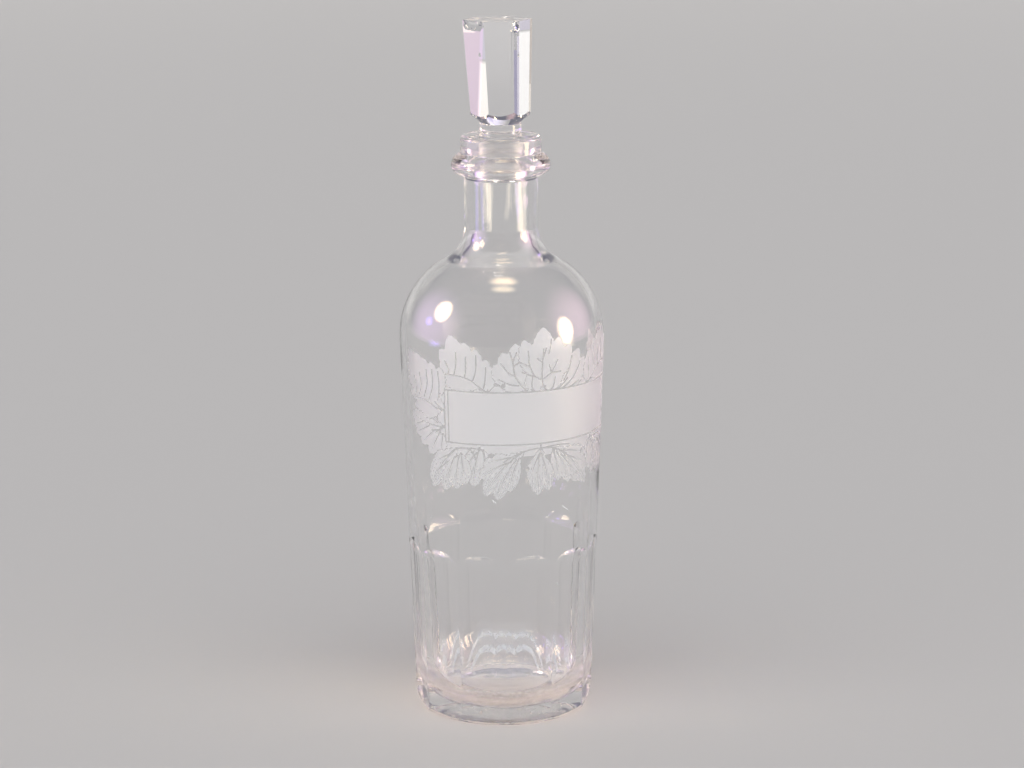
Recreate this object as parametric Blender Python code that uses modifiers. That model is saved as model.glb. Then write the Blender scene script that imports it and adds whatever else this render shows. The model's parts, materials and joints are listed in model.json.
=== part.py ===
"""Rum bottle for a back bar: a heavy clear bottle with cut flutes, and a solid faceted stopper.

Metres, +Z up. The origin is the middle of the foot, on the table, and the front faces -Y.
The bottle is one piece of glass, turned in profile and then cut with flat flutes round its foot.
The stopper is the other, with a ground plug, a round collar and a head cut to six flats.
"""

import math

import bmesh
import bpy
from mathutils import Matrix

MM = 0.001

# Allowances
SEAT_CLEARANCE = 0.3 * MM
CUT_OVERRUN = 3 * MM
MERGE_DISTANCE = 0.01 * MM

# Outside of the body: a straight taper from the foot to the shoulder
BODY_HEIGHT = 164.5 * MM
BODY_RADIUS = 44.15 * MM
FOOT_RADIUS = 38.9 * MM
HEEL_RADIUS = 4 * MM
SHOULDER_RADIUS = 37.5 * MM
NECK_FILLET = 16 * MM

# Neck, ring and lip, each stacked on the one below
NECK_LENGTH = 21 * MM
NECK_RADIUS = 15.75 * MM
RING_BEAD_RADIUS = 5.5 * MM
LIP_HEIGHT = 7.4 * MM
LIP_RADIUS = 17.4 * MM
LIP_EDGE_RADIUS = 2.2 * MM

# Inside: a floor that rounds up into the wall like a bowl's, thick at the foot, where the
# flutes are cut, and thinner up to the shoulder
BASE_THICKNESS = 4 * MM
INNER_HEEL_RADIUS = 21 * MM
WALL_AT_FOOT = 4.2 * MM
WALL_AT_SHOULDER = 2.8 * MM
BORE_RADIUS = 11 * MM
BORE_FILLET = 17 * MM

# Underside: a shallow kick inside the standing ring, and a polished hollow in its middle
KICK_RADIUS = 30 * MM
KICK_HEIGHT = 1.2 * MM
POLISHED_HOLLOW_RADIUS = 14 * MM
POLISHED_HOLLOW_DEPTH = 0.8 * MM

# Mouth: a ground taper that the plug seats in
MOUTH_RADIUS = 9.8 * MM
MOUTH_EDGE = 0.8 * MM
SEAT_LENGTH = 20.5 * MM
SEAT_TAPER_DEG = 2.1
SEAT_RUNOUT = 4 * MM

# Flutes: flat panels whose tops curve out to the surface, so that each ends in a low arch
FLUTE_COUNT = 12
FLUTE_HEIGHT = 77.5 * MM
FLUTE_DEPTH = 1.6 * MM
FLUTE_RUNOUT_RADIUS = 10 * MM
FLUTE_RUNOUT_DEG = 25
FLUTE_TURN_DEG = 2

# Stopper: plug, collar and head, whose underside starts inside a narrow ledge on the collar's top
PLUG_LENGTH = 19.5 * MM
PLUG_EDGE = 1 * MM
COLLAR_RADIUS = 8.9 * MM
COLLAR_LEDGE = 0.7 * MM
HEAD_RISE = 8.9 * MM
HEAD_HEIGHT = 39.8 * MM
HEAD_TOP_ACROSS_CORNERS = 30 * MM
HEAD_FOOT_ACROSS_CORNERS = 25.9 * MM
HEAD_UNDERSIDE_DEG = 30
HEAD_FACETS = 6
HEAD_TURN_DEG = 8
HEAD_LEAN_DEG = 1.7

# Smoothness: flats round a turn, how far a flat may stand off its arc and its widest turn,
# and the turn from which an edge shows sharp
BOTTLE_STEPS = 60
STOPPER_STEPS = 48
CHORD_ERROR = 0.12 * MM
ARC_STEP_DEG = 23
SHARP_DEG = 27

COLLECTION = "rum_bottle"
CUTTERS = "cutters"


def clear_scene():
    """Remove what the file holds, so that the part is made from nothing."""
    for thing in list(bpy.data.objects):
        bpy.data.objects.remove(thing)


def new_collection(name):
    group = bpy.data.collections.new(name)
    bpy.context.scene.collection.children.link(group)
    return group


def glass(name, colour, roughness):
    """Clear soda-lime glass, as a Principled material."""
    material = bpy.data.materials.new(name)
    material.use_nodes = True
    shader = material.node_tree.nodes["Principled BSDF"]
    shader.inputs["Base Color"].default_value = colour
    shader.inputs["Roughness"].default_value = roughness
    shader.inputs["Metallic"].default_value = 0
    shader.inputs["IOR"].default_value = 1.52
    shader.inputs["Transmission Weight"].default_value = 1
    return material


def arc(centre, radius, start, end):
    """Points of an arc in the profile plane, both ends included, angles in radians from +X."""
    step_angle = min(math.radians(ARC_STEP_DEG), 2 * math.acos(max(0, 1 - CHORD_ERROR / radius)))
    steps = max(2, math.ceil(abs(end - start) / step_angle))
    angles = [start + (end - start) * step / steps for step in range(steps + 1)]
    return [(centre[0] + radius * math.cos(a), centre[1] + radius * math.sin(a)) for a in angles]


def body_lean():
    """Angle of the body's side from upright, in radians."""
    return math.atan2(BODY_RADIUS - FOOT_RADIUS, BODY_HEIGHT)


def body_radius_at(height):
    """Outer radius of the straight part of the body."""
    return FOOT_RADIUS + height * math.tan(body_lean())


def fillet_between(shoulder_centre, shoulder_radius, neck_radius, fillet_radius):
    """Centre of the hollow curve that leaves the shoulder's arc and runs up into the neck."""
    centre_radius = neck_radius + fillet_radius
    reach = shoulder_radius + fillet_radius
    rise = math.sqrt(reach ** 2 - (centre_radius - shoulder_centre[0]) ** 2)
    return centre_radius, shoulder_centre[1] + rise


def shoulder_curve(shoulder_centre, shoulder_radius, neck_radius, fillet_radius, lean):
    """Shoulder and neck fillet as one curve, from the neck down to the body."""
    fillet_centre = fillet_between(shoulder_centre, shoulder_radius, neck_radius, fillet_radius)
    meeting = math.atan2(fillet_centre[1] - shoulder_centre[1], fillet_centre[0] - shoulder_centre[0])
    hollow = arc(fillet_centre, fillet_radius, math.pi, math.pi + meeting)
    round_part = arc(shoulder_centre, shoulder_radius, meeting, -lean)
    return hollow + round_part[1:]


def outer_shoulder_centre():
    lean = body_lean()
    return (BODY_RADIUS - SHOULDER_RADIUS * math.cos(lean),
            BODY_HEIGHT + SHOULDER_RADIUS * math.sin(lean))


def neck_foot_height():
    """Height at which the neck's straight side starts."""
    return fillet_between(outer_shoulder_centre(), SHOULDER_RADIUS, NECK_RADIUS, NECK_FILLET)[1]


def ring_height():
    """Height of the middle of the ring's bead."""
    return neck_foot_height() + NECK_LENGTH + RING_BEAD_RADIUS


def lip_top():
    return ring_height() + RING_BEAD_RADIUS + LIP_HEIGHT


def seat_radius_at(depth):
    """Radius of the ground seat at a depth under the lip's top."""
    return MOUTH_RADIUS - depth * math.tan(math.radians(SEAT_TAPER_DEG))


def outside_outline():
    """Outer profile, from the lip's top down to the standing ring."""
    top = lip_top()
    lean = body_lean()
    edge = arc((LIP_RADIUS - LIP_EDGE_RADIUS, top - LIP_EDGE_RADIUS), LIP_EDGE_RADIUS, math.pi / 2, 0)
    bead_start = math.acos(min(1, (LIP_RADIUS - NECK_RADIUS) / RING_BEAD_RADIUS))
    bead = arc((NECK_RADIUS, ring_height()), RING_BEAD_RADIUS, bead_start, -math.pi / 2)
    shoulder = shoulder_curve(outer_shoulder_centre(), SHOULDER_RADIUS, NECK_RADIUS, NECK_FILLET, lean)
    heel_side = HEEL_RADIUS * math.tan((math.pi / 2 - lean) / 2)
    heel_centre = (FOOT_RADIUS - heel_side, HEEL_RADIUS)
    heel = arc(heel_centre, HEEL_RADIUS, -lean, -math.pi / 2)
    return edge + bead + shoulder + heel


def dome_height(radius, dome_radius, dome_rise):
    """Height of a shallow round dome over its rim, at a radius from its middle."""
    sphere = (dome_radius ** 2 + dome_rise ** 2) / (2 * dome_rise)
    return math.sqrt(sphere ** 2 - radius ** 2) - sphere + dome_rise


def underside_outline():
    """Underside from the standing ring's inner edge to the middle."""
    halfway = (KICK_RADIUS + POLISHED_HOLLOW_RADIUS) / 2
    rim = dome_height(POLISHED_HOLLOW_RADIUS, KICK_RADIUS, KICK_HEIGHT)
    kick = [(radius, dome_height(radius, KICK_RADIUS, KICK_HEIGHT)) for radius in (KICK_RADIUS, halfway)]
    hollow = [(radius, rim + dome_height(radius, POLISHED_HOLLOW_RADIUS, POLISHED_HOLLOW_DEPTH))
              for radius in (POLISHED_HOLLOW_RADIUS, POLISHED_HOLLOW_RADIUS / 2, 0)]
    return kick + hollow


def inside_outline():
    """Inner profile, from the middle of the floor up to the mouth."""
    top = lip_top()
    inner_top_radius = BODY_RADIUS - WALL_AT_SHOULDER
    inner_foot_radius = body_radius_at(BASE_THICKNESS) - WALL_AT_FOOT
    lean = math.atan2(inner_top_radius - inner_foot_radius, BODY_HEIGHT - BASE_THICKNESS)
    heel_side = INNER_HEEL_RADIUS * math.tan((math.pi / 2 - lean) / 2)
    heel_centre = (inner_foot_radius - heel_side, BASE_THICKNESS + INNER_HEEL_RADIUS)
    heel = arc(heel_centre, INNER_HEEL_RADIUS, -math.pi / 2, -lean)
    radius = SHOULDER_RADIUS - WALL_AT_SHOULDER
    centre = (inner_top_radius - radius * math.cos(lean), BODY_HEIGHT + radius * math.sin(lean))
    shoulder = shoulder_curve(centre, radius, BORE_RADIUS, BORE_FILLET, lean)
    seat_foot = top - SEAT_LENGTH
    mouth = [
        (BORE_RADIUS, seat_foot - SEAT_RUNOUT),
        (seat_radius_at(SEAT_LENGTH), seat_foot),
        (seat_radius_at(MOUTH_EDGE), top - MOUTH_EDGE),
        (seat_radius_at(MOUTH_EDGE) + MOUTH_EDGE, top),
    ]
    return [(0, BASE_THICKNESS)] + heel + list(reversed(shoulder)) + mouth


def turned(name, outline, steps, group):
    """Object whose solid is the outline turned once round the Z axis."""
    mesh = bpy.data.meshes.new(name)
    points = [(radius, 0, height) for radius, height in outline]
    edges = [(index, index + 1) for index in range(len(points) - 1)]
    mesh.from_pydata(points, edges, [])
    solid = bpy.data.objects.new(name, mesh)
    group.objects.link(solid)
    screw = solid.modifiers.new("turn", "SCREW")
    screw.axis = "Z"
    screw.steps = steps
    screw.render_steps = steps
    screw.use_merge_vertices = True
    screw.merge_threshold = MERGE_DISTANCE
    screw.use_smooth_shade = True
    return solid


def extruded(name, outline, half_width, group):
    """Mesh object of a flat outline in the X-Y plane, half_width to each side of it."""
    curve = bpy.data.curves.new(name, "CURVE")
    curve.dimensions = "2D"
    curve.fill_mode = "BOTH"
    curve.extrude = half_width
    spline = curve.splines.new("POLY")
    spline.points.add(len(outline) - 1)
    for point, (x, y) in zip(spline.points, outline):
        point.co = (x, y, 0, 1)
    spline.use_cyclic_u = True
    flat = bpy.data.objects.new(name, curve)
    group.objects.link(flat)
    bpy.context.view_layer.update()
    mesh = bpy.data.meshes.new_from_object(flat.evaluated_get(bpy.context.evaluated_depsgraph_get()))
    weld(mesh)
    solid = bpy.data.objects.new(name, mesh)
    solid.matrix_world = flat.matrix_world
    group.objects.link(solid)
    bpy.data.objects.remove(flat)
    return solid


def weld(mesh):
    edit = bmesh.new()
    edit.from_mesh(mesh)
    bmesh.ops.remove_doubles(edit, verts=edit.verts, dist=MERGE_DISTANCE)
    bmesh.ops.recalc_face_normals(edit, faces=edit.faces)
    edit.to_mesh(mesh)
    edit.free()


def cut(solid, cutter):
    """Take the cutter's space out of the solid."""
    cutter.hide_render = True
    cutter.display_type = "WIRE"
    boolean = solid.modifiers.new(cutter.name, "BOOLEAN")
    boolean.operation = "DIFFERENCE"
    boolean.solver = "EXACT"
    boolean.object = cutter


def apply_cuts(solid):
    """Turn the modifiers into the solid's own mesh, smooth but for its cut edges."""
    bpy.context.view_layer.update()
    mesh = bpy.data.meshes.new_from_object(solid.evaluated_get(bpy.context.evaluated_depsgraph_get()))
    solid.modifiers.clear()
    solid.data = mesh
    mesh.shade_smooth()
    mesh.set_sharp_from_angle(angle=math.radians(SHARP_DEG))


def flute_outline():
    """Side view of a flute's cutter: X outward from the axis, Y up."""
    lean = body_lean()
    turn = math.radians(FLUTE_RUNOUT_DEG)
    foot = -CUT_OVERRUN
    curve_depth = FLUTE_RUNOUT_RADIUS * (1 - math.cos(turn))
    curve_rise = FLUTE_RUNOUT_RADIUS * math.sin(turn)
    slant_rise = (FLUTE_DEPTH - curve_depth) / math.tan(turn)
    panel_top_height = FLUTE_HEIGHT - slant_rise - curve_rise
    panel_top = (body_radius_at(panel_top_height) - FLUTE_DEPTH, panel_top_height)
    centre = (panel_top[0] + FLUTE_RUNOUT_RADIUS * math.cos(lean),
              panel_top[1] - FLUTE_RUNOUT_RADIUS * math.sin(lean))
    runout = arc(centre, FLUTE_RUNOUT_RADIUS, math.pi - lean, math.pi - lean - turn)
    outside = body_radius_at(FLUTE_HEIGHT) + CUT_OVERRUN
    slant_top = runout[-1][1] + (outside - runout[-1][0]) / math.tan(turn + lean)
    panel_foot = (body_radius_at(foot) - FLUTE_DEPTH, foot)
    return [panel_foot] + runout + [(outside, slant_top), (outside, foot)]


def add_flutes(bottle, cutters):
    """Cut the flat panels, equally spaced round the foot of the body."""
    half_width = BODY_RADIUS * math.tan(math.pi / FLUTE_COUNT)
    pattern = extruded("flute_cutter", flute_outline(), half_width, cutters)
    upright = Matrix.Rotation(math.pi / 2, 4, "X")
    for index in range(FLUTE_COUNT):
        turn = math.radians(FLUTE_TURN_DEG) + 2 * math.pi * (index + 0.5) / FLUTE_COUNT
        cutter = bpy.data.objects.new(f"flute_cutter_{index + 1:02d}", pattern.data)
        cutter.matrix_world = Matrix.Rotation(turn - math.pi / 2, 4, "Z") @ upright
        cutters.objects.link(cutter)
        cut(bottle, cutter)
    bpy.data.objects.remove(pattern)


def make_bottle(group, cutters):
    outline = inside_outline() + outside_outline() + underside_outline()
    bottle = turned("bottle", outline, BOTTLE_STEPS, group)
    add_flutes(bottle, cutters)
    apply_cuts(bottle)
    bottle.data.materials.append(glass("clear_blown_glass", (0.93, 0.95, 0.94, 1), 0.02))


def plug_radius_at(depth):
    """Radius of the plug, which lies one clearance inside the seat, measured square to it."""
    return seat_radius_at(depth) - SEAT_CLEARANCE / math.cos(math.radians(SEAT_TAPER_DEG))


def head_foot_height():
    """Height of the head's lowest cut edge."""
    return lip_top() + HEAD_RISE


def head_blank_radius():
    """Radius of the round blank that the head is cut from."""
    shift = HEAD_HEIGHT * math.tan(math.radians(HEAD_LEAN_DEG))
    return HEAD_TOP_ACROSS_CORNERS / 2 + shift + CUT_OVERRUN


def stopper_outline():
    """Profile of the stopper before its facets are cut, from the top down to the plug's end."""
    slope = math.tan(math.radians(HEAD_UNDERSIDE_DEG))
    blank = head_blank_radius()
    ledge_radius = COLLAR_RADIUS - COLLAR_LEDGE
    corner = HEAD_FOOT_ACROSS_CORNERS / 2
    collar_top = head_foot_height() - (corner - ledge_radius) * slope
    top = head_foot_height() + HEAD_HEIGHT
    plug_top = lip_top() - MOUTH_EDGE
    plug_foot = lip_top() - PLUG_LENGTH
    return [
        (0, top),
        (blank, top),
        (blank, collar_top + (blank - ledge_radius) * slope),
        (ledge_radius, collar_top),
        (COLLAR_RADIUS, collar_top),
        (COLLAR_RADIUS, plug_top + PLUG_EDGE),
        (plug_radius_at(MOUTH_EDGE), plug_top),
        (plug_radius_at(PLUG_LENGTH - PLUG_EDGE), plug_foot + PLUG_EDGE),
        (plug_radius_at(PLUG_LENGTH) - PLUG_EDGE, plug_foot),
        (0, plug_foot),
    ]


def add_facets(stopper, cutters):
    """Cut the head's flats, which open out towards the top, about an axis that leans a little."""
    half_angle = math.pi / HEAD_FACETS
    foot_flat = HEAD_FOOT_ACROSS_CORNERS / 2 * math.cos(half_angle)
    top_flat = HEAD_TOP_ACROSS_CORNERS / 2 * math.cos(half_angle)
    taper = math.atan2(top_flat - foot_flat, HEAD_HEIGHT)
    thickness = head_blank_radius()
    width = 2 * head_blank_radius()
    height = HEAD_HEIGHT + 2 * CUT_OVERRUN
    pivot = Matrix.Translation((0, 0, head_foot_height()))
    lean = Matrix.Rotation(-math.radians(HEAD_LEAN_DEG), 4, "Y")
    for index in range(HEAD_FACETS):
        turn = math.radians(HEAD_TURN_DEG) + 2 * math.pi * index / HEAD_FACETS - math.pi / 2
        bpy.ops.mesh.primitive_cube_add(size=1)
        cutter = bpy.context.object
        cutter.name = f"facet_cutter_{index + 1}"
        place = Matrix.Rotation(turn, 4, "Z") @ Matrix.Translation((foot_flat, 0, 0))
        tilt = Matrix.Rotation(taper, 4, "Y")
        outward = Matrix.Translation((thickness / 2, 0, HEAD_HEIGHT / 2))
        size = Matrix.Diagonal((thickness, width, height, 1))
        cutter.data.transform(outward @ size)
        cutter.matrix_world = pivot @ lean @ place @ tilt
        move_to(cutter, cutters)
        cut(stopper, cutter)


def move_to(thing, group):
    for holder in list(thing.users_collection):
        holder.objects.unlink(thing)
    group.objects.link(thing)


def make_stopper(group, cutters):
    stopper = turned("stopper", stopper_outline(), STOPPER_STEPS, group)
    add_facets(stopper, cutters)
    apply_cuts(stopper)
    stopper.data.materials.append(glass("clear_cut_glass", (0.94, 0.94, 0.95, 1), 0.03))


def main():
    clear_scene()
    group = new_collection(COLLECTION)
    cutters = new_collection(CUTTERS)
    make_bottle(group, cutters)
    make_stopper(group, cutters)


main()
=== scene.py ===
"""Looks of the rum bottle: clear glass with cut flutes, an etched wreath and a six-sided stopper.

Metres, +Z up. The front faces -Y, as in the frame.
"""

import json
import math

import bpy
import numpy as np
from mathutils import Matrix, Vector

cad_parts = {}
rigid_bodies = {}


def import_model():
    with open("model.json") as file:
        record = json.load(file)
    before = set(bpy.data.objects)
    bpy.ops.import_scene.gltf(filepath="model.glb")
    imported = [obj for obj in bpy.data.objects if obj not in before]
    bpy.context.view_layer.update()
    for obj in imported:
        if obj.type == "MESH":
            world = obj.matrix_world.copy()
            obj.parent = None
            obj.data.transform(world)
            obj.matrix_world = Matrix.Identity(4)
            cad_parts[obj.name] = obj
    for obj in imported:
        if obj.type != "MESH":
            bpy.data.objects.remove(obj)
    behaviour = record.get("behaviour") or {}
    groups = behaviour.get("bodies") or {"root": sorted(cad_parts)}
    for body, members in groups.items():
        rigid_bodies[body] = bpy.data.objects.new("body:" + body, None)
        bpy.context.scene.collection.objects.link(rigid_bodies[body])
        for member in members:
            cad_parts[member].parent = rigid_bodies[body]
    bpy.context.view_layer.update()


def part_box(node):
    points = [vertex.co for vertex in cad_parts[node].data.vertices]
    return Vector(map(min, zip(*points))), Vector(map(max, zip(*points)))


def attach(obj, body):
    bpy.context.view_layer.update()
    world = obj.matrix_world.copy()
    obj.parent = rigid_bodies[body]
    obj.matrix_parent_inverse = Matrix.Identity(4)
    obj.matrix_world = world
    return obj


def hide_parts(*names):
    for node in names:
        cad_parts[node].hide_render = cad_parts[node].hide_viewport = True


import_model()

MM = 0.001

# The bottle's outside, its width and height as the frame has them
BOTTLE_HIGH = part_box("bottle")[1]
BODY_RADIUS = BOTTLE_HIGH.x
LIP_TOP = BOTTLE_HIGH.z
BODY_HEIGHT = 164.5 * MM
FOOT_RADIUS = 38.9 * MM
HEEL_RADIUS = 4 * MM
SHOULDER_RADIUS = 37.5 * MM
NECK_RADIUS = 15.75 * MM
NECK_FILLET = 16 * MM
RING_BEAD_RADIUS = 5.5 * MM
RING_UNDERSIDE_SHARE = 0.8
LIP_HEIGHT = 7.4 * MM
LIP_RADIUS = 17.4 * MM
LIP_EDGE_RADIUS = 2.2 * MM
CREASE_FILLET = 0.7 * MM

# The bottle's inside
BASE_THICKNESS = 4 * MM
INNER_HEEL_RADIUS = 21 * MM
WALL_AT_FOOT = 4.2 * MM
WALL_AT_SHOULDER = 2.8 * MM
BORE_RADIUS = 11 * MM
BORE_FILLET = 17 * MM
MOUTH_RADIUS = 9.8 * MM
MOUTH_EDGE = 0.8 * MM
SEAT_LENGTH = 16 * MM
SEAT_TAPER_DEG = 2.1
SEAT_RUNOUT = 3 * MM
SEAT_CLEARANCE = 0.3 * MM

# Waves in the inner wall, in millimetres: lowest and highest place, how far they fade in and out there, and each wave's
# depth, number round, climb for one radian, and start
BODY_WAVES = (28, 190, 20, 20, [(0.1, 2, 19, 0.7), (0.06, 3, -12, 2), (0.04, 7, 27, 0)])
NECK_WAVES = (200, LIP_TOP / MM - 25, 10, 8, [(0.14, 3, 14, 1), (0.1, 5, -23, 0)])

# Underside
KICK_RADIUS = 30 * MM
KICK_HEIGHT = 1.2 * MM
POLISHED_HOLLOW_RADIUS = 14 * MM
POLISHED_HOLLOW_DEPTH = 0.8 * MM

# Flutes
FLUTE_COUNT = 12
FLUTE_HEIGHT = 77.5 * MM
FLUTE_DEPTH = 1.6 * MM
FLUTE_RUNOUT_RADIUS = 20 * MM
FLUTE_RUNOUT_DEG = 25
FLUTE_TURN_DEG = 2
FLUTE_EDGE = 0.35 * MM

# Stopper, its height as the frame has it
HEAD_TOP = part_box("stopper")[1].z
PLUG_LENGTH = 15.2 * MM
PLUG_EDGE = 1 * MM
COLLAR_RADIUS = 8.9 * MM
COLLAR_LEDGE = 0.7 * MM
COLLAR_EDGE = 0.4 * MM
HEAD_RISE = 8.9 * MM
HEAD_HEIGHT = HEAD_TOP - LIP_TOP - HEAD_RISE
HEAD_TOP_ACROSS_CORNERS = 30 * MM
HEAD_FOOT_ACROSS_CORNERS = 25.9 * MM
HEAD_UNDERSIDE_DEG = 40
HEAD_FACETS = 6
HEAD_TURN_DEG = 8
HEAD_LEAN_DEG = 1.7

# Chips in the stopper's head, in millimetres: place across, back and below its top, the direction in degrees that each
# was struck from, and half sizes along the edge, inwards and up
CHIPS = [
    ((-12.1, -8.7, 0.8), 218, (8, 2.8, 3.7)),
    ((6, -12.6, 3), 290, (1.9, 1.1, 3)),
    ((-9.5, -11, 13.8), 229, (1.4, 1.5, 1.9)),
]
# A chip is cut by a ball of size 1: where the blow fell on it, the ripples round that place, and the two directions of
# its ragged waves
CHIP_BLOW = (0.6, 0, 0.8)
CHIP_RIPPLES = 11
CHIP_RIPPLE_DEPTH = 0.12
CHIP_RAGS = ((7, 4, -5), (-3, 8, 6))

# How finely the surfaces are drawn
TURN_STEPS = 180
STOPPER_STEPS = 120
ARC_PITCH = 1.6 * MM
INNER_PITCH = 4 * MM
CREASE_PITCH = CREASE_FILLET / 3
RUNOUT_PITCH = 0.5 * MM
UNDERSIDE_RINGS = 6
ARC_TURN_DEG = 9
FLUTE_EDGE_STEPS = 2
CHIP_SUBDIVISIONS = 3
SAME_PLACE = 0.002 * MM

# Edges that turn by more than this stay sharp
BOTTLE_SHARP_DEG = 14
STOPPER_SHARP_DEG = 20
SWEEP_SHARP_DEG = 30

# How far the rough shapes reach past the finished ones
GUIDE_CLEARANCE = 5 * MM
GUIDE_FLARE = 1.3
BLANK_ALLOWANCE = 3 * MM

# The etched wreath, drawn flat: millimetres across from its middle, and up from the foot. The mesh is divided near an
# edge of the drawing, and the etching is told as far as EDGE_REACH from it.
WREATH_TURN_DEG = 24
WREATH_RADIUS = 43
WREATH_HALF = 69
WREATH_LOW = 101
WREATH_HIGH = 178
WREATH_CUTS = 3
WREATH_MARGIN = 2
NEAR_AN_EDGE = 2.2
EDGE_REACH = 2
LINE = 0.55
LEAF_GAP = 0.4
CORNER_CUT = 0.25
FAR = 50
BANNER_HALF = 43
BANNER_LOW = 127.1
BANNER_HIGH = 149.3
BANNER_END_LINE = 1.4
LOBE_SKEW = 1.25
LOBE_FULLNESS = 0.62
TOOTH_PITCH = 2.3
TOOTH_DEPTH = 0.55
RIB_END = 0.86
RIB_TAPER = 1.2
HATCH_PITCH = 1.5
PLAIN_HATCHING = 0.5

# Etched bands behind the leaves: half width, lower and upper edge
BANDS = [
    (BANNER_HALF + 3, 121.6, BANNER_LOW + 1),
    (BANNER_HALF + 1, BANNER_HIGH - 1, 152.4),
    (BANNER_HALF + 4, BANNER_LOW - 1, BANNER_HIGH + 1),
]

# A leaf is its lobes: base across and up, tip across and up, width and bend
CROWN = [
    (-1.2, 151.5, 0.2, 176.4, 11, 0), (-1.2, 153, -8.9, 171.8, 8, -1), (-1.2, 153, 7.4, 171.9, 8, 1),
    (-1, 152, 12.9, 168.2, 8.5, 1.5), (0.5, 149.6, 7.6, 157.5, 6, 0.8), (-2, 149.6, -6.5, 158, 6, -0.8),
]
CROWN_LEFT = [
    (-7.6, 149.4, -12.4, 170.6, 8.4, -1.8), (-9.5, 152, -17.9, 166.8, 8, -1.6), (-10.3, 152.4, -21.5, 161.4, 7, -1.6),
    (-9, 150.5, -19, 155.2, 5, -0.6),
]
CROWN_RIGHT = [
    (4.4, 149.4, 17.8, 165.6, 8.6, 1.6), (6, 150, 21.5, 161.4, 7, 1.6), (6, 149.8, 21, 155.4, 6, 0.8),
]
HANGING_LEFT = [
    (-8.7, 123.8, -25.8, 104.6, 9, 2), (-12, 120.5, -20.4, 102.8, 7.5, 1), (-10.5, 121.5, -15, 106.4, 6.5, 0.8),
    (-14, 119.5, -27.8, 112.4, 6.5, 0.8), (-13.5, 121.5, -26, 118.4, 5, 0.4),
]
HANGING_MIDDLE = [
    (-1.2, 124.8, -2.6, 104.4, 8.4, 0.6), (-1, 122.5, 2.6, 105.8, 6.4, -0.6), (-1.8, 122.5, -6, 110.8, 5.4, 0.4),
]
HANGING_RIGHT = [
    (5, 124.2, 24.5, 105.6, 9, -2), (4.6, 123.2, 7.6, 109.6, 6.4, -0.6), (6, 122.6, 13.2, 108.2, 7, -0.8),
    (8.4, 121.2, 18.6, 107.2, 7, -0.8), (10.4, 120.4, 25.4, 112.4, 6.4, -0.8), (9.4, 122.6, 24.4, 118.8, 5, -0.4),
]
UPPER = [
    (-24, 150.4, -41.2, 172.9, 10.5, -2), (-23.2, 150.4, -22.9, 160.9, 5.4, 0), (-25.8, 152, -24.6, 163.8, 5.8, 0),
    (-29.6, 154.6, -28.8, 167.9, 6.4, 0), (-32.4, 157.6, -34, 170.6, 6.8, 0), (-33, 157, -45.2, 166.6, 8, -1),
    (-30, 153.5, -45.2, 160.8, 7.5, -0.8), (-28, 151.4, -44.4, 155, 6.6, -0.4),
]
OUTER = [
    (-43.4, 141, -65.8, 163.8, 11, -2), (-44.6, 147, -45.8, 158.9, 5.4, 0), (-46.4, 146, -50.6, 160.6, 6.2, 0),
    (-49.4, 148, -55.6, 161.6, 6.6, 0), (-53, 151.5, -60.6, 162.9, 6.6, 0), (-56, 152.6, -67.6, 157, 6, 0),
    (-52, 149, -67, 151, 6.4, 0), (-49, 145.6, -65, 145, 6.4, 0), (-46, 142.6, -62, 139.8, 6, 0),
    (-44.6, 141, -56, 137, 5.4, 0),
]
POINTING = [
    (-44, 133, -64.6, 136, 8.4, -0.8), (-56, 133.6, -63.2, 131.2, 4.4, 0), (-52, 132.6, -61.6, 127.8, 5.4, 0),
    (-48.6, 131.6, -57.8, 124, 6.2, 0), (-46, 131, -52.4, 120.3, 6.4, 0), (-44.6, 130, -46.6, 119.6, 5.6, 0),
    (-47, 134.4, -55, 138.2, 4.6, 0),
]
LOWER = [
    (-37.6, 124.6, -51.6, 106.2, 9.4, 1.6), (-40.6, 122, -49.4, 117.4, 6.4, 0), (-42, 118.6, -49.6, 112.2, 6.4, 0),
    (-39, 121, -44.4, 105.6, 7.4, 0.5), (-37, 121.4, -38.6, 106.6, 7.4, 0.4), (-36, 122.6, -34.4, 109, 7, 0),
]
INNER_LOW = [
    (-27.6, 125.6, -30.6, 108.4, 8.6, 0.6), (-26, 124.6, -24.6, 112.6, 6, 0), (-28.6, 123.6, -35.4, 113.4, 6, 0.5),
]
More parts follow.
